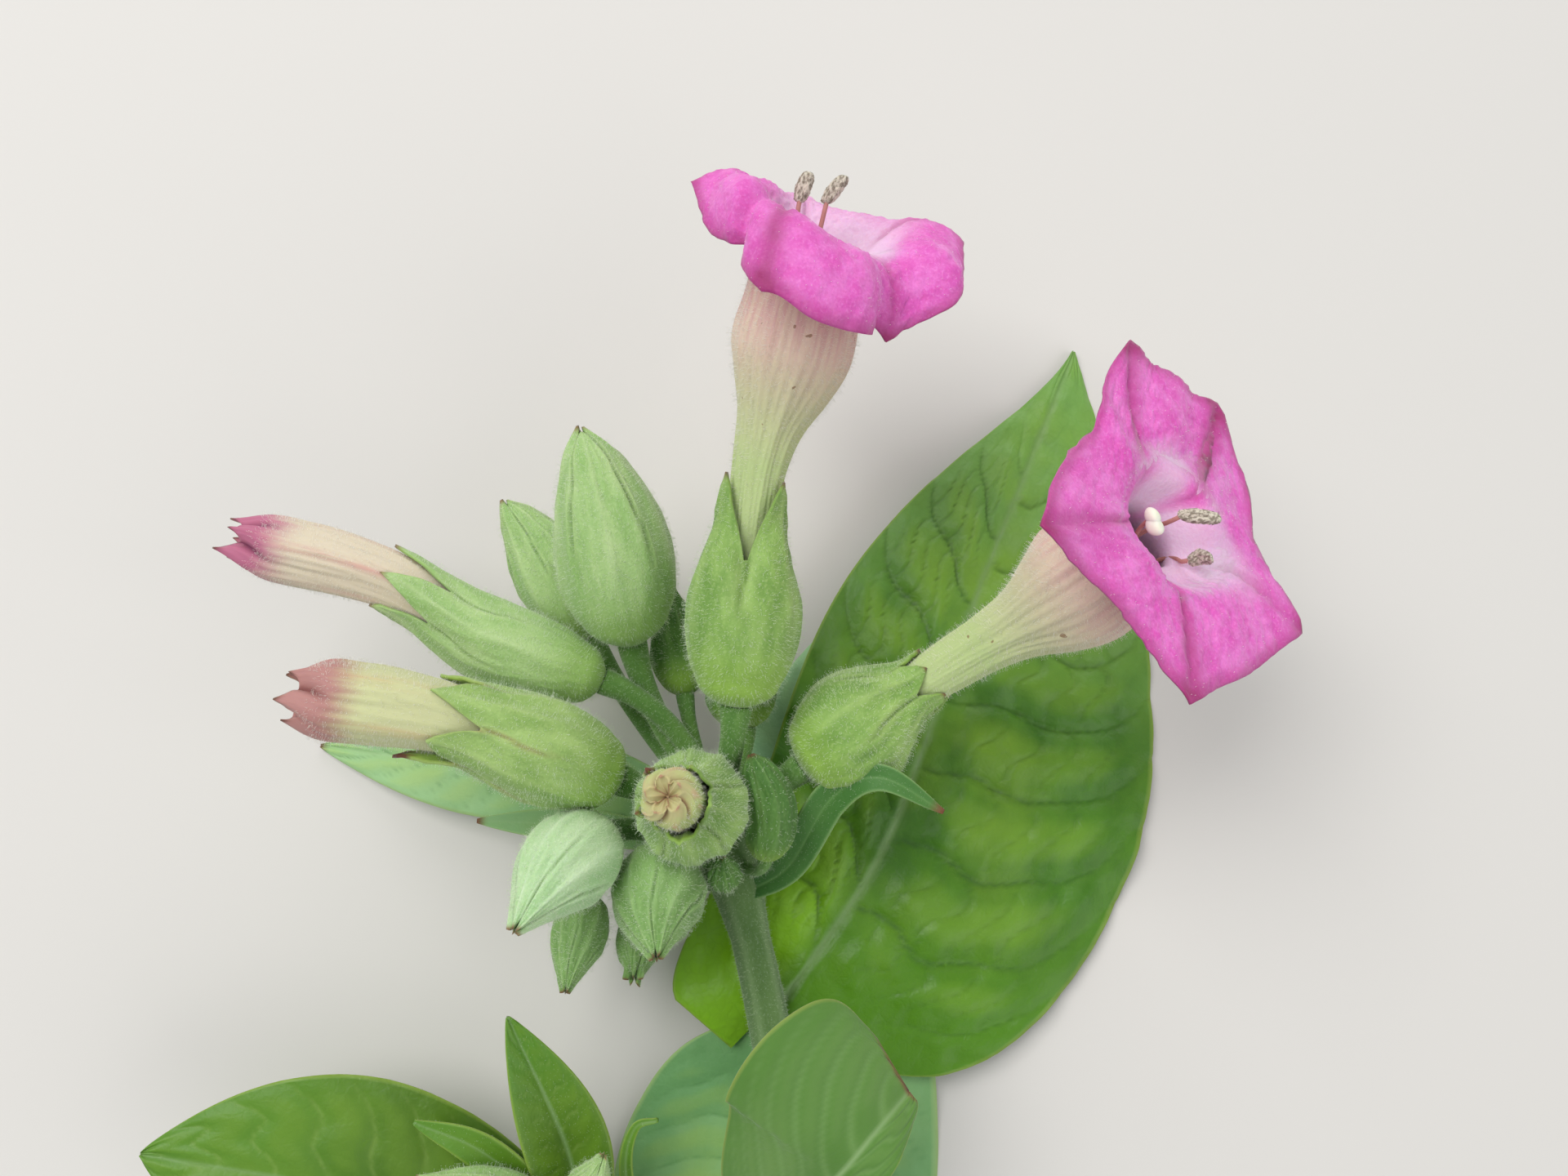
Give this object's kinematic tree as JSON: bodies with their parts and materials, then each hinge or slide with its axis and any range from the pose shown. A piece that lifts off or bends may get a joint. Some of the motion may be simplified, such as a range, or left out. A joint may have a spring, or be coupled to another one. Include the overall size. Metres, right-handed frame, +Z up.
{
  "type": "cut flowering top of a tobacco plant",
  "caption": "Cut flowering shoot lying on its back: stem, broad leaves, plump green buds, opening buds and open pink trumpet flowers with stamens.",
  "frame": {"origin": "middle of the shoot's outline as it lies, on the floor below it", "axes": "+Z up from the floor, +Y from the cut end of the stem towards the flowers, +X to the shoot's right as seen from above"},
  "size_m": [0.1198, 0.1334, 0.0539],
  "materials": {
    "stem_green": "matt, with fine white hairs",
    "calyx_green": "matt, with fine sticky hairs",
    "leaf_green": "soft sheen, sunken veins",
    "corolla_pink": "matt petal, cream tube with pink streaks",
    "furled_pale": "matt cream tube with pink points",
    "stamen_cream": "matt"
  },
  "bodies": {
    "root": {"stem": "stem_green", "side_shoot": "stem_green", "flower_top_stalk": "stem_green", "flower_top_calyx": "calyx_green", "flower_top_corolla": "corolla_pink", "flower_top_stamens": "stamen_cream", "flower_right_stalk": "stem_green", "flower_right_calyx": "calyx_green", "flower_right_corolla": "corolla_pink", "flower_right_stamens": "stamen_cream", "opening_bud_upper_stalk": "stem_green", "opening_bud_upper_calyx": "calyx_green", "opening_bud_upper_corolla": "furled_pale", "opening_bud_lower_stalk": "stem_green", "opening_bud_lower_calyx": "calyx_green", "opening_bud_lower_corolla": "furled_pale", "opening_bud_front_stalk": "stem_green", "opening_bud_front_calyx": "calyx_green", "opening_bud_front_corolla": "furled_pale", "bud_upper_big_stalk": "stem_green", "bud_upper_big": "calyx_green", "bud_upper_small_stalk": "stem_green", "bud_upper_small": "calyx_green", "bud_back_left_stalk": "stem_green", "bud_back_left": "calyx_green", "bud_back_middle_stalk": "stem_green", "bud_back_middle": "calyx_green", "bud_front_left_stalk": "stem_green", "bud_front_left": "calyx_green", "bud_front_middle_stalk": "stem_green", "bud_front_middle": "calyx_green", "bud_under_left_stalk": "stem_green", "bud_under_left": "calyx_green", "bud_under_middle_stalk": "stem_green", "bud_under_middle": "calyx_green", "bud_right_stalk": "stem_green", "bud_right": "calyx_green", "bud_tiny_stalk": "stem_green", "bud_tiny": "calyx_green", "side_bud_left_stalk": "stem_green", "side_bud_left": "calyx_green", "side_bud_right_stalk": "stem_green", "side_bud_right": "calyx_green", "leaf_under": "leaf_green", "leaf_right": "leaf_green", "leaf_back": "leaf_green", "leaf_left": "leaf_green", "leaf_front": "leaf_green", "leaf_side": "leaf_green", "leaf_upright": "leaf_green", "bract_right": "leaf_green", "bract_left": "leaf_green", "bract_low": "leaf_green", "bract_hook": "leaf_green"}
  },
  "joints": []
}
